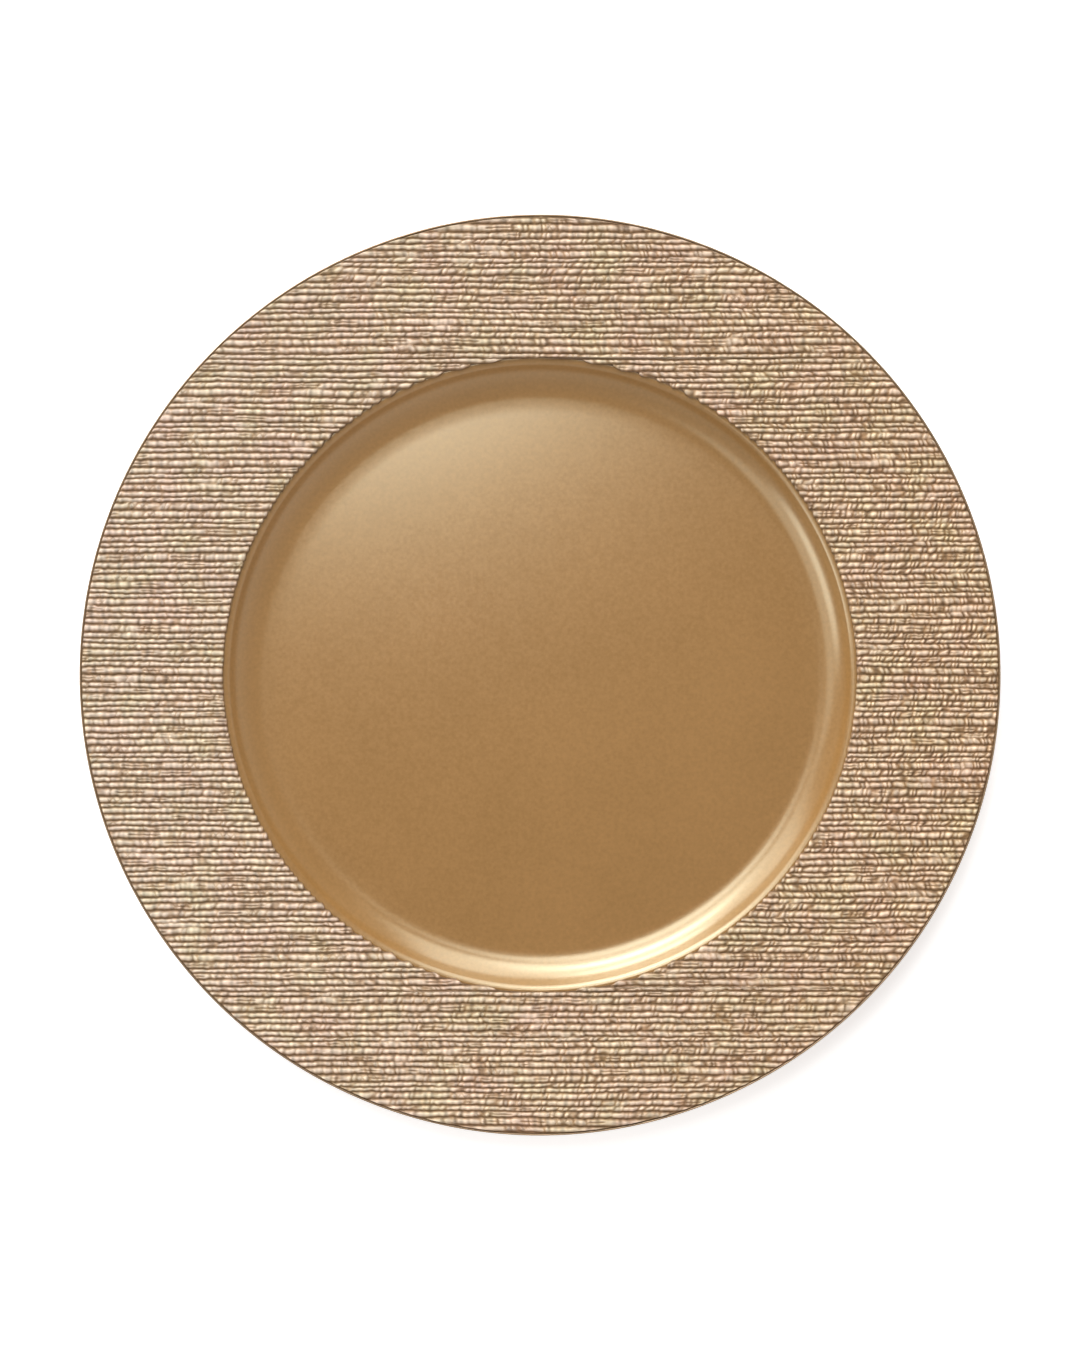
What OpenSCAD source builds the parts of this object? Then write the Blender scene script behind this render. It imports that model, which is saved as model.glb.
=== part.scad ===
// Round charger plate with a corded rim and a smooth satin well.
// Millimetres, +Z up. The origin is the centre of the circle that the foot stands on.
// The rim is level, so the cords of its cover lie straight, along X.
//
// The plate is drawn once, as the line of its upper side from the axis out to the edge.
// The lining and the body are layers below that line, and the cover lies on its level rim.

/* [Plate] */
// Diameter over the edge band
plate_d = 330; // [300:1:360]
// Wall of the moulded body
body_t = 2.2; // [1.8:0.1:3]

/* [Well] */
// Diameter of the flat floor
floor_d = 189.4; // [160:0.2:200]
// Depth from the lip to the floor
well_depth = 8.1; // [8:0.1:12]
// Radius of the faint curve in which the floor begins to rise
ease_r = 100; // [60:5:150]
// Slope that the faint curve reaches, in degrees
ease_angle = 3; // [1:0.5:4]
// Radius of the hollow curve between floor and wall
fillet_r = 14; // [10:0.5:16]
// Slope of the wall, in degrees
wall_angle = 54; // [45:1:56]
// Radius of the rounded lip at the top of the wall
lip_r = 3; // [2:0.1:4]
// Sheet of the satin lining
lining_t = 0.5; // [0.3:0.1:0.7]
// Width of the lining's flat flange, which goes under the cover
flange_w = 4; // [2:0.5:8]

/* [Corded cover] */
// Backing sheet of the cover
backing_t = 0.5; // [0.3:0.1:0.8]
// Distance from the end of the lip to the inner edge of the cover
setback = 0.1; // [0:0.1:0.5]
// Mean distance from one cord to the next
cord_pitch = 2.27; // [2:0.01:4]
// Width of backing left bare between two cords
cord_gap = 0.2; // [0.1:0.05:0.4]
// Depth that the cords are bonded into the backing
cord_root = 0.15; // [0.1:0.05:0.25]

/* [Edge band] */
// Sheet of the band around the edge
band_t = 0.6; // [0.4:0.1:0.8]
// Height that the band stands above the backing, beside the ends of the cords
band_rise = 0.4; // [0.2:0.1:0.8]
// Reach of the band's leg under the body, from the outside
band_leg_w = 2.4; // [1.5:0.1:4]
// Radius of the band's lower outer corner
band_corner_r = 1.2; // [0.5:0.1:1.5]

/* [Underside] */
// Distance from the edge of the flat floor in to the middle of the foot ring
foot_inset = 4.2; // [4:0.2:20]
// Width of the face that stands on the table
foot_w = 4; // [3:0.5:8]
// Height of the foot ring below the body
foot_h = 3; // [1.5:0.1:4]
// Draft of each side of the foot ring, from the table up to the body
foot_draft = 1; // [0.2:0.1:2]
// Diameter of the gate's round recess
gate_recess_d = 14; // [8:1:20]
// Depth of the gate's recess
gate_recess_h = 0.5; // [0.3:0.1:0.8]
// Diameter of the cut gate in the recess
gate_d = 3; // [2:0.5:5]
// Height of the cut gate
gate_h = 0.3; // [0.1:0.1:0.3]
// Mean diameter of the low stiffening ring inside the foot
rib_d = 96; // [40:1:110]
// Width of the stiffening ring at the body
rib_w = 2.4; // [1.5:0.1:4]
// Height of the stiffening ring
rib_h = 0.8; // [0.4:0.1:1.2]

/* [Hidden] */
$fn = 180;

// Clearance round the flange in its rebate, and from the ends of the cords to the edges of their backing
fit_gap = 0.1;
// Overrun of a cutting shape past what it cuts
overrun = 1;
// Straight steps in a drawn curve
curve_steps = 12;
// How far the seam between two cords wanders off its even place, as a share of the pitch
wander_share = 0.14;
// Turn of the two waves that space the seams unevenly, in degrees a cord
wander_turns = [97, 41];
// Height of a cord above the backing, as a share of its width
cord_rise_share = 0.38;
// Crest of the stiffening ring, as a share of its width
rib_crest_share = 0.5;
// Least radius of the body's hollow corner under the lip
corner_r = 0.5;

// Depth of the body's underside below the upper line
under_depth = lining_t + body_t;

// Heights of the body's underside, the floor, the rim and the top of the backing
stand_z = foot_h;
floor_z = stand_z + body_t + lining_t;
rim_z = floor_z + well_depth;
backing_z = rim_z + backing_t;
// Mean diameter of the foot ring
foot_d = floor_d - 2 * foot_inset;

// Centres of the faint curve and of the hollow curve that follows it, and the point where the wall begins
ease_c = [floor_d / 2, floor_z + ease_r];
fillet_c = ease_c + (ease_r - fillet_r) * [sin(ease_angle), -cos(ease_angle)];
wall_foot = fillet_c + fillet_r * [sin(wall_angle), -cos(wall_angle)];
// Radius where the line of the wall would meet the level of the rim
brow_r = wall_foot[0] + (rim_z - wall_foot[1]) / tan(wall_angle);
// Step outwards, for each step down, of the line that is as far from the wall as from the rim
brow_lean = tan(wall_angle / 2);

// Radii of the rim's borders
plate_r = plate_d / 2;
lip_end_r = brow_r + lip_r * brow_lean;
flange_r = lip_end_r + flange_w;
rebate_r = flange_r + fit_gap;
cover_in_r = lip_end_r + setback;
body_edge_r = plate_r - band_t;
band_leg_r = plate_r - band_leg_w;
cord_in_r = cover_in_r + fit_gap;
cord_out_r = body_edge_r - fit_gap;

// Points of an arc about c, from angle a on, up to the last one before angle b
function arc_start(c, r, a, b) =
    [for (k = [0:curve_steps - 1]) let (t = a + (b - a) * k / curve_steps) c + r * [cos(t), sin(t)]];

// Points of an arc about c, from angle a to angle b
function arc(c, r, a, b) = concat(arc_start(c, r, a, b), [c + r * [cos(b), sin(b)]]);

// The same points in the other order
function reversed(points) = [for (k = [len(points) - 1:-1:0]) points[k]];

// The lip with its upper line moved down by a depth, an arc of radius r that touches wall and rim
function lip_line(depth, r) =
    arc([brow_r + (depth + r) * brow_lean, rim_z - depth - r], r, 90 + wall_angle, 90);

// The upper line from the axis to the end of the lip, moved down by a depth
function well_line(depth) = concat(
    [[0, floor_z - depth]],
    arc_start(ease_c, ease_r + depth, -90, ease_angle - 90),
    arc(fillet_c, fillet_r + depth, ease_angle - 90, wall_angle - 90),
    lip_line(depth, max(lip_r - depth, corner_r)));

// Distance of seam i from the X axis, unevenly spaced as in hand-laid cord
function seam_y(i) =
    cord_pitch * (i + wander_share * (sin(wander_turns[0] * i) + sin(wander_turns[1] * i)));

// Middle and width of the cord between seams i and i + 1
function cord_y(i) = (seam_y(i) + seam_y(i + 1)) / 2;
function cord_w(i) = seam_y(i + 1) - seam_y(i) - cord_gap;

// Radius of the arc over a chord of width w that rises cord_rise_share of w
function cord_r(w) = w * (pow(cord_rise_share, 2) + pow(1 / 2, 2)) / (2 * cord_rise_share);

// A moulded ring of height h under the floor of the body, w wide where it ends and w_root at the body
module under_ring(d, w, w_root, h) {
    root_z = stand_z + body_t / 2;
    rotate_extrude()
        polygon([
            [(d - w) / 2, stand_z - h], [(d + w) / 2, stand_z - h],
            [(d + w_root) / 2, stand_z], [(d + w_root) / 2, root_z],
            [(d - w_root) / 2, root_z], [(d - w_root) / 2, stand_z]]);
}

// The moulded plate: floor, wall and rim in one shell, with a rebate for the lining's flange
module plate_body() {
    color([0.45, 0.33, 0.2])
    union() {
        difference() {
            rotate_extrude()
                polygon(concat(
                    well_line(lining_t),
                    [[rebate_r, rim_z - lining_t], [rebate_r, rim_z]],
                    [[body_edge_r, rim_z], [body_edge_r, rim_z - under_depth]],
                    reversed(well_line(under_depth))));
            translate([0, 0, stand_z - overrun])
                cylinder(d = gate_recess_d, h = overrun + gate_recess_h);
        }
        translate([0, 0, stand_z + gate_recess_h - gate_h])
            cylinder(d = gate_d, h = gate_h + body_t / 2);
        under_ring(foot_d, foot_w, foot_w + 2 * foot_draft, foot_h);
        under_ring(rib_d, rib_w * rib_crest_share, rib_w, rib_h);
    }
}

// Section of one cord of width w: a low arch, with a root that goes into the backing
module cord_section(w) {
    intersection() {
        translate([0, w * cord_rise_share - cord_r(w)])
            circle(r = cord_r(w));
        translate([-w / 2, -cord_root])
            square([w, cord_root + w]);
    }
}

// Straight cords side by side, over the whole width of the plate
module cords() {
    last = ceil(plate_r / cord_pitch);
    for (i = [-last:last - 1])
        translate([-plate_r, cord_y(i), backing_z])
            rotate([90, 0, 90])
                linear_extrude(plate_d)
                    cord_section(cord_w(i));
}

// The corded cover: a backing sheet with cords that run straight across the plate
module rim_cover() {
    color([0.78, 0.64, 0.47])
    union() {
        rotate_extrude()
            translate([cover_in_r, rim_z])
                square([body_edge_r - cover_in_r, backing_t]);
        intersection() {
            rotate_extrude()
                translate([cord_in_r, backing_z - overrun])
                    square([cord_out_r - cord_in_r, overrun + cord_pitch]);
            cords();
        }
    }
}

// The satin lining: one formed sheet, with a flange that the cover holds down
module well_lining() {
    color([0.64, 0.49, 0.32])
    rotate_extrude()
        polygon(concat(
            well_line(0),
            [[flange_r, rim_z], [flange_r, rim_z - lining_t]],
            reversed(well_line(lining_t))));
}

// The band around the edge: an upright strip with a leg that turns in under the body
module edge_band() {
    under_z = rim_z - under_depth;
    top_z = backing_z + band_rise;
    bottom_z = under_z - band_t;
    crest_r = band_t / 2;
    color([0.5, 0.44, 0.35])
    rotate_extrude()
        polygon(concat(
            arc([body_edge_r + crest_r, top_z - crest_r], crest_r, 180, 0),
            arc([plate_r - band_corner_r, bottom_z + band_corner_r], band_corner_r, 0, -90),
            [[band_leg_r, bottom_z], [band_leg_r, under_z], [body_edge_r, under_z]]));
}

plate_body();
rim_cover();
well_lining();
edge_band();
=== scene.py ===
import math

import bpy
import numpy as np
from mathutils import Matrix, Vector


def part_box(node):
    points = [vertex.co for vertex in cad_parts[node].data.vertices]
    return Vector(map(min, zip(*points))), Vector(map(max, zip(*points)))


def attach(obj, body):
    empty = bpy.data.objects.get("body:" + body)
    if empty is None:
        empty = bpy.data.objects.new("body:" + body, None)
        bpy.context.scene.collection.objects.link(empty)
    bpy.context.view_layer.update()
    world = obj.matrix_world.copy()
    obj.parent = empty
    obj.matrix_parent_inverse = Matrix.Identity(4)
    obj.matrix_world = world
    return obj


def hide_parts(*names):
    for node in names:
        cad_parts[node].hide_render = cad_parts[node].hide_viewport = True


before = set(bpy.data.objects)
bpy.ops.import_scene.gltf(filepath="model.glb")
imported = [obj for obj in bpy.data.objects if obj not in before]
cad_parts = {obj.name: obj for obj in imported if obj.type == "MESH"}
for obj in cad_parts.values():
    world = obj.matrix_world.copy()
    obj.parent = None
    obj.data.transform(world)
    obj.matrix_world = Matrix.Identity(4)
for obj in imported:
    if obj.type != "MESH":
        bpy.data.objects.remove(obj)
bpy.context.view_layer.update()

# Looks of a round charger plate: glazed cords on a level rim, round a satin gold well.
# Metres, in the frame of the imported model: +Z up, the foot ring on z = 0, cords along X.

MM = 0.001

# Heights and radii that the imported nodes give
COVER_LOW, COVER_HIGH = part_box("rim_cover")
LINING_LOW, LINING_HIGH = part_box("well_lining")
BAND_LOW, BAND_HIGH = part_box("edge_band")
PLATE_R = BAND_HIGH.x
BODY_EDGE_R = COVER_HIGH.x
FLANGE_R = LINING_HIGH.x
RIM_Z = LINING_HIGH.z

# Sizes of the lining, as its solid has them
LINING_T = 0.5 * MM
FLOOR_Z = LINING_LOW.z + LINING_T
FLOOR_R = 94.7 * MM
EASE_R = 100 * MM
EASE_ANGLE = math.radians(3)
FILLET_R = 14 * MM
WALL_ANGLE = math.radians(54)
LIP_R = 3 * MM
EASE_C = np.array([FLOOR_R, FLOOR_Z + EASE_R])
FILLET_C = EASE_C + (EASE_R - FILLET_R) * np.array([math.sin(EASE_ANGLE), -math.cos(EASE_ANGLE)])
WALL_FOOT = FILLET_C + FILLET_R * np.array([math.sin(WALL_ANGLE), -math.cos(WALL_ANGLE)])
BROW_R = WALL_FOOT[0] + (RIM_Z - WALL_FOOT[1]) / math.tan(WALL_ANGLE)
BROW_LEAN = math.tan(WALL_ANGLE / 2)

# Sizes of the cover and the band, as the solids have them
SETBACK = 0.1 * MM
FIT_GAP = 0.1 * MM
BACKING_T = 0.5 * MM
COVER_IN_R = BROW_R + LIP_R * BROW_LEAN + SETBACK
CORD_OUT_R = BODY_EDGE_R - FIT_GAP
BACKING_Z = RIM_Z + BACKING_T
CORD_PITCH = 2.27 * MM
CORD_ROOT = 0.15 * MM
WANDER_SHARE = 0.14
WANDER_TURNS = (97, 41)
BAND_T = PLATE_R - BODY_EDGE_R
BAND_LEG_W = 2.4 * MM
BAND_CORNER_R = 1.2 * MM

# How finely the round pieces are drawn, and the angles past which their edges stay sharp
ROUND_TURNS = 384
BACKING_TURNS = 256
LONGEST_STEP = 8 * MM
ROUND_SHARP = math.radians(40)
BACKING_SHARP = math.radians(30)

# The photograph's height and the outline's radius in it, in pixels
PHOTO_H = 1350
OUTLINE_R_PX = 460.3

# How high the camera hangs over the floor
CAMERA_HEIGHT = 0.9


# Meshes

def mesh_piece(name, points, faces, nodes, sharp_angle=None):
    """A piece made of points and faces, smooth shaded, that stands for CAD nodes of the root body."""
    mesh = bpy.data.meshes.new(name)
    mesh.from_pydata(points, [], faces)
    mesh.shade_smooth()
    if sharp_angle is not None:
        mesh.set_sharp_from_angle(angle=sharp_angle)
    mesh.update()
    piece = bpy.data.objects.new(name, mesh)
    bpy.context.scene.collection.objects.link(piece)
    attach(piece, "root")
    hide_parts(*nodes)
    return piece


def grid_faces(rows, cols):
    """Quads of a grid of rows by cols points, counted along each row.

    They face up where the rows go to +Y and the points of a row to +X.
    """
    first = (np.arange(rows - 1)[:, None] * cols + np.arange(cols - 1)).ravel()
    return np.stack([first, first + 1, first + cols + 1, first + cols], axis=1)


def arc(centre, radius, start, end, steps):
    """Points of an arc: the centre plus radius times (cos t, sin t), t in even steps from start to end."""
    t = np.linspace(start, end, steps + 1)[:, None]
    return np.asarray(centre) + radius * np.hstack([np.cos(t), np.sin(t)])


def along(points, spacing):
    """The same outline with extra points on its long straight stretches, at most spacing apart."""
    out = []
    for a, b in zip(points, points[1:]):
        count = max(1, math.ceil(np.linalg.norm(b - a) / spacing))
        out.append(a + (b - a) * np.linspace(0, 1, count, endpoint=False)[:, None])
    return np.vstack(out + [points[-1:]])


def revolved(name, outline, turns, nodes, sharp_angle):
    """A closed solid of revolution: a point (r, z) of the outline goes to (r cos a, r sin a, z), a even.

    The outline runs round its section so that outwards is on its left. One that begins and ends on the
    axis gets a single point at each pole, and any other outline closes on itself.
    """
    poles = outline[0][0] == 0
    ring = outline[1:-1] if poles else outline
    a = np.linspace(0, 2 * math.pi, turns, endpoint=False)[:, None]
    grid = np.stack([ring[:, 0] * np.cos(a), ring[:, 0] * np.sin(a), ring[:, 1] + 0 * a], axis=2)
    count = len(ring)
    column = np.arange(turns)[:, None] * count
    following = np.roll(column, -1, axis=0)
    k = np.arange(count - 1 if poles else count)
    after = (k + 1) % count
    quads = np.stack([column + k, following + k, following + after, column + after], axis=2).reshape(-1, 4)
    points = grid.reshape(-1, 3)
    faces = quads.tolist()
    if poles:
        first, last = len(points), len(points) + 1
        points = np.vstack([points, [0, 0, outline[0][1]], [0, 0, outline[-1][1]]])
        start, end = column[:, 0], column[:, 0] + count - 1
        faces += np.stack([np.full(turns, first), following[:, 0], start], axis=1).tolist()
        faces += np.stack([end, following[:, 0] + count - 1, np.full(turns, last)], axis=1).tolist()
    return mesh_piece(name, points, faces, nodes, sharp_angle)


# The cords of the cover

# How far a seam drifts and wobbles, and the least width that this leaves a cord
SEAM_DRIFT = 0.12 * MM
SEAM_WOBBLE = 0.06 * MM
LEAST_CORD_W = 0.5 * MM

# The whole sheet of cords sways in slanting waves, and the waves swell and fade from front to back
SHEET_SWAY = 0.3 * MM
SWAY_SPAN_X = 130 * MM
SWAY_SPAN_Y = 80 * MM
SWELL_SPAN = 190 * MM
SWELL_PHASE = 1

# Across a cord: its rise on the backing, which a narrow cord has less of, and the hollows of its seams
CORD_CREST = 1.05 * MM
FULL_RISE_W = 2.9 * MM
LEAST_RISE_SHARE = 0.6
HOLLOW_POWER = 0.95
SEAM_NARROWNESS = 1.15

# Two cords merge as their seam's noise rises through this range, and the seam loses this share of its depth
MERGE_RANGE = (1.4, 2.2)
MERGE_SHARE = 0.55

# A cord splits as its noise rises through this range, a wide cord sooner, and the seam that opens down its
# middle has this depth and this reach to either side, as shares of its height and width
SPLIT_RANGE = (1.1, 1.8)
SPLIT_BY_WIDTH = 1.8
SPLIT_SHARE = 0.6
SPLIT_REACH_SHARE = 0.25

# Beads: the share by which the right half holds more of them, and how far they wander, in beads
MORE_BEADS_SHARE = 0.18
BEAD_WANDER = 0.3

# The pinches between beads: their depth, how much deeper they are at the right edge, and the mean, spread
# and limits of each cord's own share of that. Then how sharp a pinch is, how far it lowers the cord, and
# how much it opens the seams beside it.
PINCH_DEPTH = 0.44
PINCH_DEEPER = 0.18
PINCH_MEAN_SHARE = 0.85
PINCH_SPREAD = 0.4
PINCH_LIMITS = (0.1, 1.4)
PINCH_POWER = 1.1
PINCH_FALL = 0.8
PINCH_OPENS = 0.8

# A slub forms as a cord's noise rises through this range, in a wide cord sooner. It has two sets of hollows
# that lean opposite ways.
SLUB_RANGE = (1.3, 1.9)
SLUB_BY_WIDTH = 1.5
SLUB_SHARE = 0.35
SLUB_SLANT = 0.9
SLUB_RISING_SPAN = 2.4 * MM
SLUB_FALLING_SPAN = 2.9 * MM
SLUB_FALLING_START = 0.4

# Beside the well a cord's end is nearly square, with a rounded nose, and keeps a share of its height.
# At the band it falls to the backing.
END_SQUARE_SHARE = 0.65
END_NOSE = 0.15 * MM
END_HEIGHT_SHARE = 0.4
WELL_END_FALL = 0.4 * MM
WELL_RAGGED_SHARE = 0.9
BAND_END_FALL = 0.35 * MM
BAND_RAGGED_SHARE = 0.5

# What an end keeps of a crest's colour, and how strong a cord's slow tone is beside its beads' own
END_CREST_SHARE = 0.4
TONE_ALONG = 0.35

# Rows and columns of the blocks' grids: beside the well, and behind and before it, where they stop a little
# short of the circle's end
SIDE_GRID = (430, 200)
CAP_GRID = (184, 520)
CAP_GAP = 0.05 * MM

# How much the spans of a strand's noise differ from strand to strand
SPAN_STRETCH = (0.8, 1.25)

RNG = np.random.default_rng(41)
LAST_SEAM = math.ceil(PLATE_R / CORD_PITCH) + 1
SEAM_NUMBERS = np.arange(-LAST_SEAM, LAST_SEAM + 1)
SEAM_WAVES = sum(np.sin(np.radians(turn * SEAM_NUMBERS)) for turn in WANDER_TURNS)
SEAM_Y = CORD_PITCH * (SEAM_NUMBERS + WANDER_SHARE * SEAM_WAVES)
STRANDS = len(SEAM_Y)


def strand_noise(*spans):
    """A smooth random value along each strand: a sum of sines in x with the strand's own phases.

    There is one sine for each span, which is its rough wavelength in metres.
    """
    phase = RNG.uniform(0, 2 * math.pi, (STRANDS, len(spans)))
    stretch = RNG.uniform(*SPAN_STRETCH, (STRANDS, len(spans)))

    def value(strand, x):
        """The sum at x, scaled so that its usual size is the same for any number of spans."""
        total = 0
        for j, span in enumerate(spans):
            total = total + np.sin(2 * math.pi * x / (span * stretch[strand, j]) + phase[strand, j])
        return total * math.sqrt(2 / len(spans))

    return value


def smooth(low, high, value):
    """0 below low, 1 above high, and an S-shaped rise between them."""
    t = np.clip((value - low) / (high - low), 0, 1)
    return t * t * (3 - 2 * t)


# What each cord or seam has of its own. ragged_end holds four values for a cord: left and right beside the
# well, then left and right at the band.
seam_drift = strand_noise(0.074, 0.033, 0.017)
seam_fade = strand_noise(0.09, 0.041, 0.023)
middle_split = strand_noise(0.081, 0.037, 0.019)
bead_drift = strand_noise(0.027, 0.011, 0.0061)
bead_depth = strand_noise(0.04, 0.013, 0.0047)
slub_place = strand_noise(0.067, 0.029, 0.016)
cord_tone = strand_noise(0.12, 0.031, 0.0083)
bead_tone = strand_noise(0.0047, 0.0032, 0.0021)
bead_length = RNG.uniform(2.6, 3.6, STRANDS) * MM
bead_slant = RNG.uniform(0.2, 0.65, STRANDS) * RNG.choice([-1, 1], STRANDS)
ragged_end = RNG.uniform(0, 0.35, (STRANDS, 4)) * MM
seam_wobble = strand_noise(0.0067, 0.0043, 0.0029)


def seam_line(seam, x):
    """Y of a seam at x: its place in the solids, plus a slow drift and a short wobble."""
    return SEAM_Y[seam] + SEAM_DRIFT * seam_drift(seam, x) + SEAM_WOBBLE * seam_wobble(seam, x)


def cord_under(x, y):
    """Which cord lies under each point, the share of its width that lies below the point, and that width.

    The sheet's sway is a product of two sines, one along a slant and one in y. It is added to y before the
    cord is looked up, first by the seams' even places and then by the lines that they follow, which can
    move a point to the next cord, so one cord is left over on either side.
    """
    wave = np.sin(2 * math.pi * (x / SWAY_SPAN_X + y / SWAY_SPAN_Y))
    warped = y + SHEET_SWAY * wave * np.sin(2 * math.pi * y / SWELL_SPAN + SWELL_PHASE)
    cord = np.clip(np.searchsorted(SEAM_Y, warped) - 1, 1, STRANDS - 3)
    cord = cord - (warped < seam_line(cord, x)) + (warped >= seam_line(cord + 1, x))
    low, high = seam_line(cord, x), seam_line(cord + 1, x)
    width = np.maximum(high - low, LEAST_CORD_W)
    return cord, np.clip((warped - low) / width, 0, 1), width


def hollow(distance):
    """Depth of the hollow beside a round back: 1 at distance 0, down a sine curve to 0 at distance 1."""
    return 1 - np.sin(math.pi / 2 * np.clip(distance, 0, 1)) ** HOLLOW_POWER


def bead_pinch(cord, share, x):
    """Depth of the pinch between beads: (1 - |sin(pi n)|) to a power, times the cord's own depth at x.

    n counts the beads from the plate's middle. It leans across the cord as twisted yarn does, wanders along
    the cord, and counts faster to the right, where the pinches are deeper too.
    """
    run = x * (1 + MORE_BEADS_SHARE * x / PLATE_R)
    count = run / bead_length[cord] + BEAD_WANDER * bead_drift(cord, x) + bead_slant[cord] * (share - 0.5)
    pinch = (1 - np.abs(np.sin(math.pi * count))) ** PINCH_POWER
    own_share = np.clip(PINCH_MEAN_SHARE + PINCH_SPREAD * bead_depth(cord, x), *PINCH_LIMITS)
    return (PINCH_DEPTH + PINCH_DEEPER * x / PLATE_R) * own_share * pinch


def slub_hollow(cord, share, wide, x):
    """Depth of a slub's hollows: two crossing sets of slanting waves, the square of 1 - |sin| in each."""
    slub = smooth(*SLUB_RANGE, slub_place(cord, x) + SLUB_BY_WIDTH * wide)
    rising = np.abs(np.sin(math.pi * (x / SLUB_RISING_SPAN + SLUB_SLANT * share)))
    falling = np.abs(np.sin(math.pi * (x / SLUB_FALLING_SPAN - SLUB_SLANT * share + SLUB_FALLING_START)))
    return SLUB_SHARE * slub * (1 - np.minimum(rising, falling)) ** 2


def well_end(cord, share, width, x, y):
    """How far from the Y axis a cord ends beside the well, squared, or a negative value past the well.

    The end lies on a circle of the cord's own, a little inside the backing's edge. It is cut nearly square
    to the cord, so most of its width takes the place of its middle on that circle, and its nose is rounded.
    """
    nose = END_NOSE * (1 - (2 * share - 1) ** 2)
    end_r = COVER_IN_R - WELL_RAGGED_SHARE * ragged_end[cord, (x > 0).astype(int)] - nose
    return end_r ** 2 - (y - END_SQUARE_SHARE * (share - 0.5) * width) ** 2


def end_heights(cord, share, width, x, y):
    """Shares of its height that a cord keeps beside the well and at the band: 1, then an S-shaped fall."""
    end_x = well_end(cord, share, width, x, y)
    from_well = np.abs(x) - np.sqrt(np.maximum(end_x, 0))
    at_well = np.where(end_x > 0, smooth(0, WELL_END_FALL, from_well), 1)
    from_band = CORD_OUT_R - np.hypot(x, y) - BAND_RAGGED_SHARE * ragged_end[cord, 2 + (x > 0)]
    return END_HEIGHT_SHARE + (1 - END_HEIGHT_SHARE) * at_well, smooth(0, BAND_END_FALL, from_band)


def cord_relief(x, y):
    """Height of the cords above the backing, how near a crest it is from 0 to 1, and the cord's tone.

    Across, a cord is an arch that falls to its two seams. A seam fades where two cords merge, and a second
    one opens along a cord that splits. Along, the arch is pinched between beads, and a slub is crossed by
    slanting hollows. At its ends it falls, to two fifths beside the well and to the backing at the band.
    """
    cord, share, width = cord_under(x, y)
    pinch = bead_pinch(cord, share, x)
    wide = (width - CORD_PITCH) / CORD_PITCH

    nearest = cord + (share > 0.5)
    seam_depth = 1 - MERGE_SHARE * smooth(*MERGE_RANGE, seam_fade(nearest, x))
    seam_distance = 2 * np.minimum(share, 1 - share) * (SEAM_NARROWNESS - PINCH_OPENS * pinch)
    height = 1 - seam_depth * hollow(seam_distance)
    split = smooth(*SPLIT_RANGE, middle_split(cord, x) + SPLIT_BY_WIDTH * wide)
    height = height * (1 - SPLIT_SHARE * split * hollow(np.abs(share - 0.5) / SPLIT_REACH_SHARE))
    height = height * (1 - PINCH_FALL * pinch)
    height = height * (1 - slub_hollow(cord, share, wide, x))

    at_well, at_band = end_heights(cord, share, width, x, y)
    rise = CORD_CREST * np.clip(np.sqrt(width / FULL_RISE_W), LEAST_RISE_SHARE, 1)
    crest = height * (END_CREST_SHARE + (1 - END_CREST_SHARE) * at_well * at_band)
    tone = TONE_ALONG * cord_tone(cord, x) + bead_tone(cord, x)
    return rise * height * at_well * at_band, crest, tone


def inner_x(y, side=1):
    """X where the cords end beside the well, on its right (side 1) or its left (side -1)."""
    circle_x = side * np.sqrt(np.maximum(COVER_IN_R ** 2 - y ** 2, 0))
    cord, share, width = cord_under(circle_x, y)
    return side * np.sqrt(np.maximum(well_end(cord, share, width, circle_x, y), 0))


def left_inner_x(y):
    """X where the cords end beside the well, left of it."""
    return inner_x(y, -1)


def outer_x(y):
    """X where the cords end at the band, on the right."""
    return np.sqrt(np.maximum(CORD_OUT_R ** 2 - y ** 2, 0))


def left_outer_x(y):
    """X where the cords end at the band, on the left."""
    return -outer_x(y)


def cord_block(name, y_from, y_to, x_from, x_to, grid):
    """A closed block of cords: cord_relief over a grid of y and of the share from x_from(y) to x_to(y).

    Its walls go straight down into the backing, and its underside is one strip from wall to wall.
    """
    rows, cols = grid
    y = np.linspace(y_from, y_to, rows)[:, None]
    share = np.linspace(0, 1, cols)[None, :]
    x = x_from(y) + share * (x_to(y) - x_from(y))
    y = np.broadcast_to(y, x.shape)
    height, crest, tone = cord_relief(x, y)
    top = np.stack([x, y, BACKING_Z + height], axis=2).reshape(-1, 3)
    root_z = np.full(rows, BACKING_Z - CORD_ROOT)
    left = np.stack([x[:, 0], y[:, 0], root_z], axis=1)
    right = np.stack([x[:, -1], y[:, -1], root_z], axis=1)

    count = rows * cols
    row = np.arange(rows - 1)
    top_left, top_right = row * cols, row * cols + cols - 1
    low_left, low_right = count + row, count + rows + row
    left_wall = np.stack([top_left, top_left + cols, low_left + 1, low_left], axis=1)
    right_wall = np.stack([top_right, low_right, low_right + 1, top_right + cols], axis=1)
    underside = np.stack([low_left, low_left + 1, low_right + 1, low_right], axis=1)
    near_end = list(range(cols - 1, -1, -1)) + [count, count + rows]
    far_end = list(range(count - cols, count)) + [count + 2 * rows - 1, count + rows - 1]
    faces = np.vstack([grid_faces(rows, cols), left_wall, right_wall, underside]).tolist()
    points = np.vstack([top, left, right])
    piece = mesh_piece(name, points, faces + [near_end, far_end], ["rim_cover"])

    for label, values in (("crest", crest), ("tone", tone)):
        attribute = piece.data.attributes.new(label, "FLOAT", "POINT")
        full = np.concatenate([values.ravel(), np.zeros(2 * rows)])
        attribute.data.foreach_set("value", full.astype(np.float32))
    return piece


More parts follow.
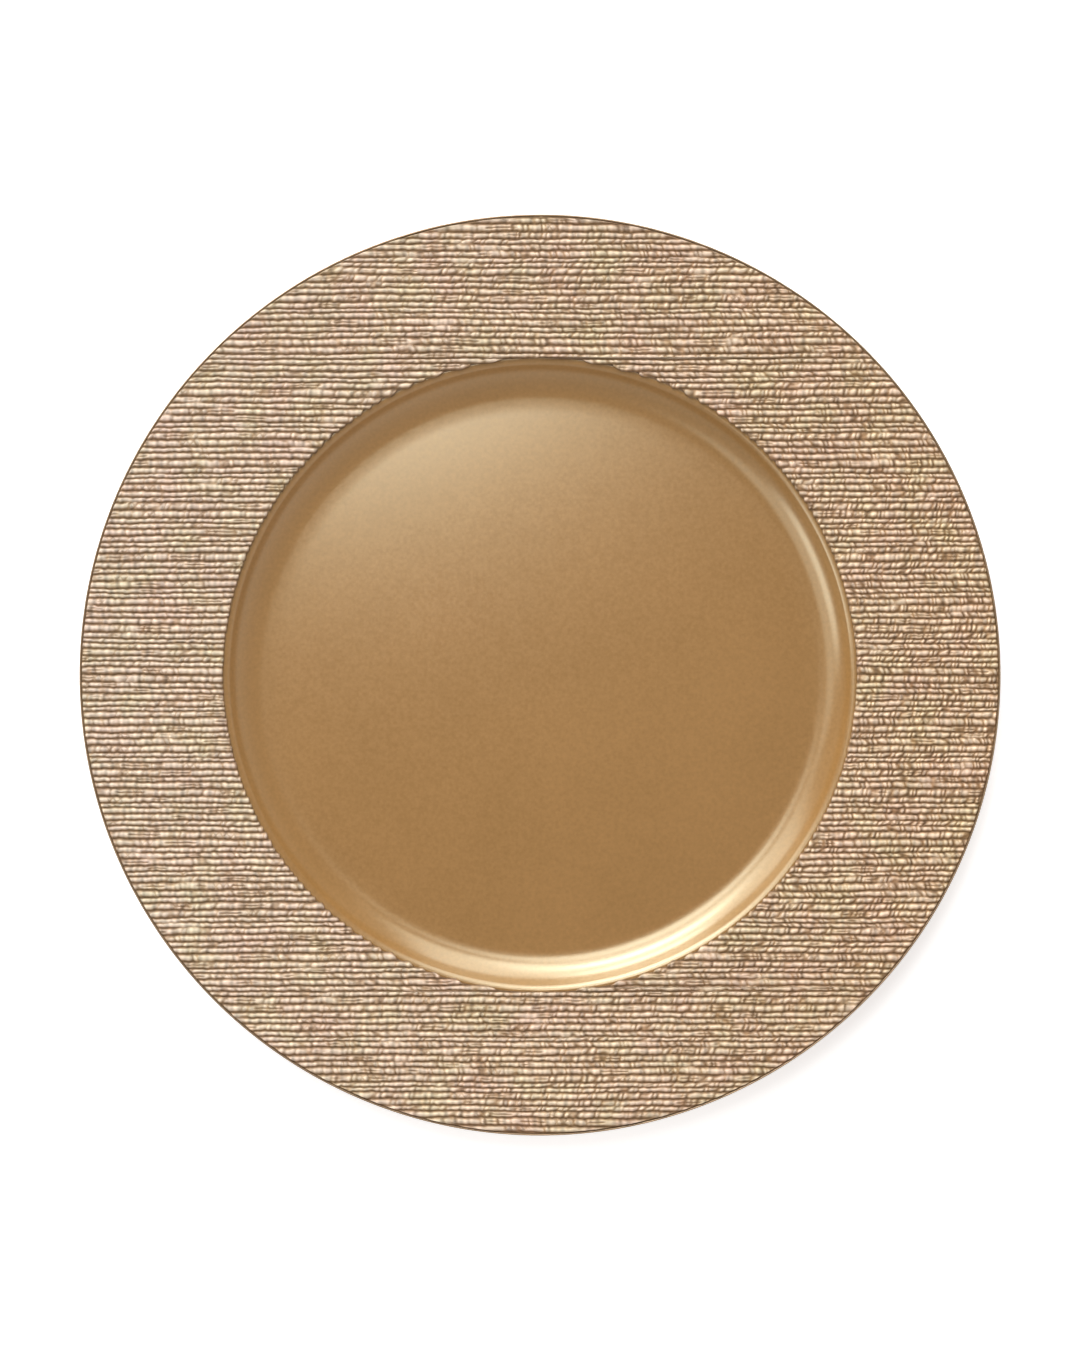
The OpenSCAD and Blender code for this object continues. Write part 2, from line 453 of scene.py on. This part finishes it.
def make_cords():
    """Six blocks that share out the cords: two on each side of the well, one behind it, one before it."""
    cap_y = SEAM_Y[SEAM_Y > COVER_IN_R][0]
    tip_y = CORD_OUT_R - CAP_GAP
    return [
        cord_block("cords_right_back", 0, cap_y, inner_x, outer_x, SIDE_GRID),
        cord_block("cords_right_front", -cap_y, 0, inner_x, outer_x, SIDE_GRID),
        cord_block("cords_left_back", 0, cap_y, left_outer_x, left_inner_x, SIDE_GRID),
        cord_block("cords_left_front", -cap_y, 0, left_outer_x, left_inner_x, SIDE_GRID),
        cord_block("cords_back", cap_y, tip_y, left_outer_x, outer_x, CAP_GRID),
        cord_block("cords_front", -tip_y, -cap_y, left_outer_x, outer_x, CAP_GRID),
    ]


def make_backing():
    """The sheet that the cords lie on: a flat ring with square edges."""
    low_z = COVER_LOW.z
    outline = np.array([
        [COVER_IN_R, BACKING_Z], [COVER_IN_R, low_z], [BODY_EDGE_R, low_z], [BODY_EDGE_R, BACKING_Z]])
    return revolved("cover_backing", outline, BACKING_TURNS, ["rim_cover"], BACKING_SHARP)


# The lining, the band

def well_line(depth):
    """The upper line of the well from the axis to the end of the lip, moved down by a depth.

    As in the solids, it is a level floor, an arc of a wide radius that begins to rise, a hollow arc, a
    straight wall, and the arc of the lip.
    """
    lip_c = [BROW_R + LIP_R * BROW_LEAN, RIM_Z - LIP_R]
    quarter = math.pi / 2
    return np.vstack([
        [[0, FLOOR_Z - depth]],
        arc(EASE_C, EASE_R + depth, -quarter, EASE_ANGLE - quarter, steps=8)[:-1],
        arc(FILLET_C, FILLET_R + depth, EASE_ANGLE - quarter, WALL_ANGLE - quarter, steps=28),
        arc(lip_c, LIP_R - depth, quarter + WALL_ANGLE, quarter, steps=20),
    ])


def make_lining():
    """The lining: its upper line out to the flange, and back along its lower line."""
    upper = along(np.vstack([well_line(0), [[FLANGE_R, RIM_Z]]]), LONGEST_STEP)
    lower = along(np.vstack([well_line(LINING_T), [[FLANGE_R, RIM_Z - LINING_T]]]), LONGEST_STEP)
    outline = np.vstack([upper, lower[::-1]])[::-1]
    return revolved("lining", outline, ROUND_TURNS, ["well_lining"], ROUND_SHARP)


def make_band():
    """The band: an upright strip with a round crest, whose foot turns in under the body."""
    top_z, bottom_z = BAND_HIGH.z, BAND_LOW.z
    crest_r = BAND_T / 2
    outline = np.vstack([
        arc([BODY_EDGE_R + crest_r, top_z - crest_r], crest_r, math.pi, 0, steps=12),
        arc([PLATE_R - BAND_CORNER_R, bottom_z + BAND_CORNER_R], BAND_CORNER_R, 0, -math.pi / 2, steps=10),
        [[PLATE_R - BAND_LEG_W, bottom_z], [PLATE_R - BAND_LEG_W, bottom_z + BAND_T]],
        [[BODY_EDGE_R, bottom_z + BAND_T]],
    ])
    return revolved("band", outline[::-1], ROUND_TURNS, ["edge_band"], ROUND_SHARP)


# Shader nodes and groups

def feed(tree, value, socket):
    """Gives an input socket its value: a link from another socket, or a plain number, vector or colour."""
    if isinstance(value, bpy.types.NodeSocket):
        tree.links.new(value, socket)
    else:
        socket.default_value = value


def node(tree, kind, **settings):
    """A new node of a tree. Settings named after its properties set them, the others feed its inputs."""
    made = tree.nodes.new("ShaderNode" + kind)
    for label, value in settings.items():
        if hasattr(made, label):
            setattr(made, label, value)
        else:
            feed(tree, value, made.inputs[label.replace("_", " ")])
    return made


def computed(tree, operation, *terms):
    """The result of a Math node. Each term is a socket or a plain number."""
    made = node(tree, "Math", operation=operation)
    for term, socket in zip(terms, made.inputs):
        feed(tree, term, socket)
    return made.outputs[0]


def ranged(tree, value, start, end, to_start=0.0, to_end=1.0):
    """A value carried from the range start to end over to another range, and held at its two ends."""
    made = node(tree, "MapRange", Value=value, From_Min=start, From_Max=end, To_Min=to_start, To_Max=to_end)
    return made.outputs["Result"]


def ramp(tree, fac, stops):
    """A colour ramp of (place, linear colour) stops, driven by fac."""
    made = tree.nodes.new("ShaderNodeValToRGB")
    elements = made.color_ramp.elements
    while len(elements) < len(stops):
        elements.new(0.5)
    for element, (position, colour) in zip(elements, stops):
        element.position = position
        element.color = (*colour, 1)
    tree.links.new(fac, made.inputs["Fac"])
    return made.outputs["Color"]


def times(tree, colour, other):
    """The product of two colours."""
    made = node(tree, "Mix", data_type="RGBA", blend_type="MULTIPLY")
    for value, socket in ((1.0, made.inputs[0]), (colour, made.inputs[6]), (other, made.inputs[7])):
        feed(tree, value, socket)
    return made.outputs[2]


def shaded(tree, colour, shade):
    """A colour times a grey value."""
    grey = node(tree, "CombineColor", Red=shade, Green=shade, Blue=shade)
    return times(tree, colour, grey.outputs["Color"])


def bumped(tree, shader, height, strength, distance):
    """A Bump node from a height to a shader's normal."""
    bump = node(tree, "Bump", Strength=strength, Distance=distance, Height=height)
    feed(tree, bump.outputs["Normal"], shader.inputs["Normal"])


def new_group(name, inputs, outputs):
    """An empty shader node group, its Group Input and its Group Output.

    inputs and outputs list their sockets as (name, type, default).
    """
    group = bpy.data.node_groups.new(name, "ShaderNodeTree")
    for in_out, sockets in (("INPUT", inputs), ("OUTPUT", outputs)):
        for label, kind, default in sockets:
            socket = group.interface.new_socket(name=label, in_out=in_out, socket_type="NodeSocket" + kind)
            if default is not None:
                socket.default_value = default
    return group, group.nodes.new("NodeGroupInput"), group.nodes.new("NodeGroupOutput")


# Scale of the cloud in a metallic flake, as a share of the cells' own
CLOUD_SCALE_SHARE = 0.35


def flake_group():
    """Fine metallic flake: small cells, each a little brighter or darker, over a softer, coarser cloud.

    Height is cell + cloud, and shade is 1 + amount times (cell + cloud - 1).
    """
    group, given, result = new_group(
        "metal_flake",
        [("Place", "Vector", None), ("Flake Scale", "Float", 3000.0), ("Amount", "Float", 0.2)],
        [("Shade", "Float", None), ("Height", "Float", None)],
    )
    place, scale = given.outputs["Place"], given.outputs["Flake Scale"]
    cells = node(group, "TexVoronoi", feature="F1", Vector=place, Scale=scale)
    cell = node(group, "SeparateColor", Color=cells.outputs["Color"]).outputs["Red"]
    cloud_scale = computed(group, "MULTIPLY", scale, CLOUD_SCALE_SHARE)
    cloud = node(group, "TexNoise", Vector=place, Scale=cloud_scale, Detail=3.0, Roughness=0.6)
    height = computed(group, "ADD", cell, cloud.outputs["Fac"])
    centred = computed(group, "SUBTRACT", height, 1.0)
    shade = computed(group, "MULTIPLY_ADD", centred, given.outputs["Amount"], 1.0)
    feed(group, shade, result.inputs["Shade"])
    feed(group, height, result.inputs["Height"])
    return group


def mottle_group():
    """Broad, soft unevenness of a sprayed or glazed finish, from 0 to 1: patches with finer ones inside."""
    group, given, result = new_group(
        "soft_mottle",
        [("Place", "Vector", None), ("Patches", "Float", 40.0)],
        [("Shade", "Float", None)],
    )
    place, scale = given.outputs["Place"], given.outputs["Patches"]
    patches = node(group, "TexNoise", Vector=place, Scale=scale, Detail=2.0, Roughness=0.5)
    feed(group, ranged(group, patches.outputs["Fac"], start=0.3, end=0.7), result.inputs["Shade"])
    return group


FLAKE = flake_group()
MOTTLE = mottle_group()


def placed(tree, group, place, **values):
    """A shader group in a material, reading its place, with its own values."""
    made = tree.nodes.new("ShaderNodeGroup")
    made.node_tree = group
    for label, value in {"Place": place, **values}.items():
        feed(tree, value, made.inputs[label.replace("_", " ")])
    return made


def new_material(name, **settings):
    """A material with a Principled shader. Returns it, its tree, the shader and the Object coordinates."""
    material = bpy.data.materials.new(name)
    material.use_nodes = True
    tree = material.node_tree
    shader = tree.nodes["Principled BSDF"]
    for label, value in settings.items():
        shader.inputs[label.replace("_", " ")].default_value = value
    place = tree.nodes.new("ShaderNodeTexCoord").outputs["Object"]
    return material, tree, shader, place


def mottled(tree, place, deep, pale, patches):
    """Two near colours, in soft patches."""
    mottle = placed(tree, MOTTLE, place, Patches=patches)
    return ramp(tree, mottle.outputs["Shade"], [(0.0, deep), (1.0, pale)])


# Materials, with their colours in linear light

# The lining's gold, and the yellow that tints what it mirrors
LINING_DEEP = (0.276, 0.141, 0.042)
LINING_PALE = (0.296, 0.152, 0.047)
LINING_SHEEN = (1.0, 1.0, 0.76)

# How much the lining's grain changes its shade
GRAIN_SHADE = 0.15

# The wash on a cord, from its gaps to its crest
GAP_BROWN = (0.172, 0.104, 0.049)
CORD_BROWN = (0.292, 0.187, 0.097)
CORD_TAN = (0.445, 0.332, 0.217)
CREST_CREAM = (0.633, 0.525, 0.397)

# Tints that multiply the wash: in patches, and a painted shade from the left edge of the plate, darker and
# cooler, to the right one, which evens out the lamps' brighter light on the left
ROSE_TINT = (1.0, 0.925, 0.935)
PLAIN_TINT = (1.0, 0.98, 0.95)
OLIVE_TINT = (0.965, 1.0, 0.88)
LEFT_PAINTED_SHADE = (0.84, 0.85, 0.92)
RIGHT_PAINTED_LIGHT = (0.985, 0.94, 0.925)

# Painted light and shade that multiply the wash, from the front edge of the plate, lighter, to the back
# one, darker, which evens out the overhead lamp's stronger light at the back
FRONT_PAINTED_LIGHT = 1.09
BACK_PAINTED_SHADE = 0.95

# Scale of the fibres along a cord, as a share of that across it, how much they move the wash, and how much
# a cord's tone changes its shade
FIBRE_ALONG_SHARE = 0.06
FIBRE_WASH = 0.25
TONE_SHADE = 0.15

# The bronzes of the band and the underside
BRONZE_DEEP = (0.29, 0.205, 0.125)
BRONZE_PALE = (0.35, 0.25, 0.155)
UNDERSIDE_DEEP = (0.20, 0.125, 0.065)
UNDERSIDE_PALE = (0.25, 0.16, 0.085)


def gold_lining():
    """Satin gold lacquer: warm gold with a yellow sheen, a fine soft grain, and hardly any unevenness."""
    material, tree, shader, place = new_material(
        "satin_gold", Metallic=0.05, IOR=2.2, Specular_Tint=(*LINING_SHEEN, 1))
    grain = node(tree, "TexNoise", Vector=place, Scale=800.0, Detail=2.0).outputs["Fac"]
    base = mottled(tree, place, LINING_DEEP, LINING_PALE, patches=22.0)
    shade = computed(tree, "MULTIPLY_ADD", grain, 2 * GRAIN_SHADE, 1 - GRAIN_SHADE)
    feed(tree, shaded(tree, base, shade), shader.inputs["Base Color"])
    # Past about 0.27, a render's noise filter would take some grains for matt ones and leave bright specks
    roughness = ranged(tree, grain, start=0.28, end=0.68, to_start=0.21, to_end=0.27)
    feed(tree, roughness, shader.inputs["Roughness"])
    return material


def glazed_cords():
    """Glazed cord: cream gold on the crests, a brown wash in the gaps, fibres, patches of tint, and painted
    shade to the left and the back.
    """
    material, tree, shader, place = new_material(
        "glazed_cords", Metallic=0.05, Roughness=0.58, Specular_IOR_Level=0.35)
    crest = node(tree, "Attribute", attribute_name="crest").outputs["Fac"]
    tone = node(tree, "Attribute", attribute_name="tone").outputs["Fac"]
    drawn_out = node(tree, "Mapping", Vector=place, Scale=(FIBRE_ALONG_SHARE, 1, 1)).outputs["Vector"]
    fibre = node(tree, "TexNoise", Vector=drawn_out, Scale=9000.0, Detail=2.0, Roughness=0.6)
    fibres = fibre.outputs["Fac"]

    uneven = computed(tree, "MULTIPLY_ADD", fibres, FIBRE_WASH, crest)
    wash = ramp(tree, computed(tree, "SUBTRACT", uneven, FIBRE_WASH / 2), [
        (0.05, GAP_BROWN), (0.4, CORD_BROWN), (0.68, CORD_TAN), (0.92, CREST_CREAM)])
    warm = placed(tree, MOTTLE, place, Patches=70.0)
    patches = ramp(tree, warm.outputs["Shade"], [(0.0, ROSE_TINT), (0.5, PLAIN_TINT), (1.0, OLIVE_TINT)])

    # Painted shade: the wash is darker and cooler toward the left edge, evening out the lamps' brighter
    # light there
    where = node(tree, "SeparateXYZ", Vector=place)
    side = ranged(tree, where.outputs["X"], -PLATE_R, PLATE_R)
    painted_side_shade = ramp(tree, side, [(0.0, LEFT_PAINTED_SHADE), (1.0, RIGHT_PAINTED_LIGHT)])
    # Painted light and shade: the wash is lighter at the front edge and darker at the back, evening out the
    # overhead lamp's stronger light at the back
    front = ranged(tree, where.outputs["Y"], -PLATE_R, PLATE_R, FRONT_PAINTED_LIGHT, BACK_PAINTED_SHADE)
    tinted_with_painted_shade = shaded(tree, times(tree, wash, times(tree, patches, painted_side_shade)), front)
    light = computed(tree, "MULTIPLY_ADD", tone, TONE_SHADE, 1.0)
    feed(tree, shaded(tree, tinted_with_painted_shade, light), shader.inputs["Base Color"])
    bumped(tree, shader, fibres, strength=0.35, distance=0.1 * MM)
    return material


def bronze_band():
    """Smooth satin bronze of the band, with a faint flake."""
    material, tree, shader, place = new_material("bronze_band", Metallic=0.7, Roughness=0.36)
    flake = placed(tree, FLAKE, place, Flake_Scale=2600.0, Amount=0.14)
    base = mottled(tree, place, BRONZE_DEEP, BRONZE_PALE, patches=60.0)
    feed(tree, shaded(tree, base, flake.outputs["Shade"]), shader.inputs["Base Color"])
    bumped(tree, shader, flake.outputs["Height"], strength=0.1, distance=0.05 * MM)
    return material


def moulded_body():
    """Sprayed moulded plastic of the underside: satin bronze brown over a fine moulded grain."""
    material, tree, shader, place = new_material("moulded_body", Metallic=0.35, Roughness=0.5)
    flake = placed(tree, FLAKE, place, Flake_Scale=1700.0, Amount=0.2)
    base = mottled(tree, place, UNDERSIDE_DEEP, UNDERSIDE_PALE, patches=16.0)
    feed(tree, shaded(tree, base, flake.outputs["Shade"]), shader.inputs["Base Color"])
    bumped(tree, shader, flake.outputs["Height"], strength=0.25, distance=0.1 * MM)
    return material


def dress(piece, material):
    """Gives a piece one material."""
    piece.data.materials.clear()
    piece.data.materials.append(material)


# Camera, floor and light

# Half the floor's side, its grey, and its own glow to the camera, where 1 is white
FLOOR_HALF = 12.0
FLOOR_GREY = 0.8
FLOOR_GLOW = 0.6

# The room's brightness at the foot of its walls and overhead, the height of a direction from which it is
# the ceiling's, and the colour of its light
WALL_LEVEL = 0.46
CEILING_LEVEL = 0.1
CEILING_FROM = 0.7
ROOM_WHITE = (1.0, 0.94, 0.88)

# The pale wall: where it lies, in degrees, what it adds to the room's brightness, the cosine past which it
# is full, and its warmer colour there
PALE_WALL_AZIMUTH = 310
PALE_WALL_ELEVATION = 5
PALE_WALL_LEVEL = 0.62
PALE_WALL_FULL = 0.95
PALE_WALL_COLOUR = (1.0, 0.83, 0.74)

# Each lamp's name, azimuth and elevation in degrees, distance, width and height in metres, and level
LAMPS = (
    ("overhead", 112, 70, 1.0, 0.335, 0.287, 5.0),
    ("window", 108, 30, 2.4, 1.6, 2.3, 2.9),
    ("window_left", 139, 30, 2.4, 0.9, 2.3, 1.75),
    ("window_right", 77, 30, 2.4, 0.9, 2.3, 2.25),
    ("high_strip", 110, 38, 2.38, 1.0, 0.5, 7),
    ("low_strip", 110, 12, 2.38, 1.0, 0.6, 4.4),
    ("side", 200, 28, 1.2, 0.56, 0.45, 2.55),
    ("side_high", 200, 54, 1.2, 0.9, 0.5, 0.9),
)

# An area lamp's power is four times its area for a glow of 1
POWER_PER_AREA = 4


def make_camera():
    """Straight down on the plate, its centre in the middle of the picture and the cords level.

    The sensor's width lies along the picture's longer side, its height.
    """
    camera = bpy.data.cameras.new("camera")
    half_height = PLATE_R * (PHOTO_H / 2) / OUTLINE_R_PX
    camera.sensor_width = 36
    camera.lens = camera.sensor_width / 2 * (CAMERA_HEIGHT - RIM_Z) / half_height
    camera.clip_end = 50
    holder = bpy.data.objects.new("camera", camera)
    holder.location = (0, 0, CAMERA_HEIGHT)
    bpy.context.scene.collection.objects.link(holder)
    bpy.context.scene.camera = holder


def make_floor():
    """A wide pale floor. Part of its white is its own glow to the camera, so the rest keeps the shadow."""
    corners = FLOOR_HALF * np.array([(-1, -1, 0), (1, -1, 0), (1, 1, 0), (-1, 1, 0)])
    mesh = bpy.data.meshes.new("floor")
    mesh.from_pydata(corners, [], [(0, 1, 2, 3)])
    floor = bpy.data.objects.new("floor", mesh)
    bpy.context.scene.collection.objects.link(floor)
    material, tree, shader, _ = new_material(
        "pale_floor", Base_Color=(FLOOR_GREY, FLOOR_GREY, FLOOR_GREY, 1), Roughness=0.9,
        Emission_Color=(1, 1, 1, 1))
    rays = tree.nodes.new("ShaderNodeLightPath").outputs
    seen = computed(tree, "MAXIMUM", rays["Is Camera Ray"], rays["Is Glossy Ray"])
    seen = computed(tree, "MAXIMUM", seen, rays["Is Transmission Ray"])
    feed(tree, computed(tree, "MULTIPLY", seen, FLOOR_GLOW), shader.inputs["Emission Strength"])
    dress(floor, material)


def make_world():
    """A dim room: walls brighter than the ceiling, and the wall before the plate the brightest and warmest.

    The walls' level falls evenly with the height of the direction. The pale wall's part grows evenly with
    the cosine of the angle between the direction and its middle, from a right angle on.
    """
    world = bpy.data.worlds.new("room")
    world.use_nodes = True
    bpy.context.scene.world = world
    tree = world.node_tree
    direction = tree.nodes.new("ShaderNodeTexCoord").outputs["Generated"]
    height = node(tree, "SeparateXYZ", Vector=direction).outputs["Z"]
    walls = ranged(tree, height, 0.0, CEILING_FROM, WALL_LEVEL, CEILING_LEVEL)
    towards = node(tree, "VectorMath", operation="DOT_PRODUCT")
    feed(tree, direction, towards.inputs[0])
    feed(tree, direction_of(PALE_WALL_AZIMUTH, PALE_WALL_ELEVATION), towards.inputs[1])
    pale_wall = ranged(tree, towards.outputs["Value"], 0.0, PALE_WALL_FULL, 0.0, PALE_WALL_LEVEL)
    colour = ramp(tree, pale_wall, [(0.0, ROOM_WHITE), (PALE_WALL_LEVEL, PALE_WALL_COLOUR)])
    background = tree.nodes["Background"]
    feed(tree, colour, background.inputs["Color"])
    feed(tree, computed(tree, "ADD", walls, pale_wall), background.inputs["Strength"])


def direction_of(azimuth, elevation):
    """Unit vector towards an azimuth, in degrees from +X towards +Y, at an elevation above the floor."""
    a, e = math.radians(azimuth), math.radians(elevation)
    return Vector((math.cos(a) * math.cos(e), math.sin(a) * math.cos(e), math.sin(e)))


def softbox(name, azimuth, elevation, distance, width, height, level):
    """A rectangular soft lamp that faces the plate's centre and glows at a level, where 1 is white."""
    lamp = bpy.data.lights.new(name, "AREA")
    lamp.shape = "RECTANGLE"
    lamp.size = width
    lamp.size_y = height
    lamp.energy = POWER_PER_AREA * level * width * height
    holder = bpy.data.objects.new(name, lamp)
    away = direction_of(azimuth, elevation)
    holder.location = distance * away
    holder.rotation_euler = away.to_track_quat("Z", "Y").to_euler()
    bpy.context.scene.collection.objects.link(holder)


def make_light():
    """Behind the plate, an overhead lamp whose sheen fades over the well, and a far window.

    The window has two dimmer wings, and before it hang two bright strips, one high and one low. A small
    lamp stands on the left of the plate, a little in front of it, and a wider dim one hangs above that.
    """
    for lamp in LAMPS:
        softbox(*lamp)


scene = bpy.context.scene
scene.view_settings.view_transform = "Standard"

make_camera()
make_floor()
make_world()
make_light()

cords_material = glazed_cords()
for block in make_cords():
    dress(block, cords_material)
dress(make_backing(), cords_material)
dress(make_lining(), gold_lining())
dress(make_band(), bronze_band())
dress(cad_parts["plate_body"], moulded_body())
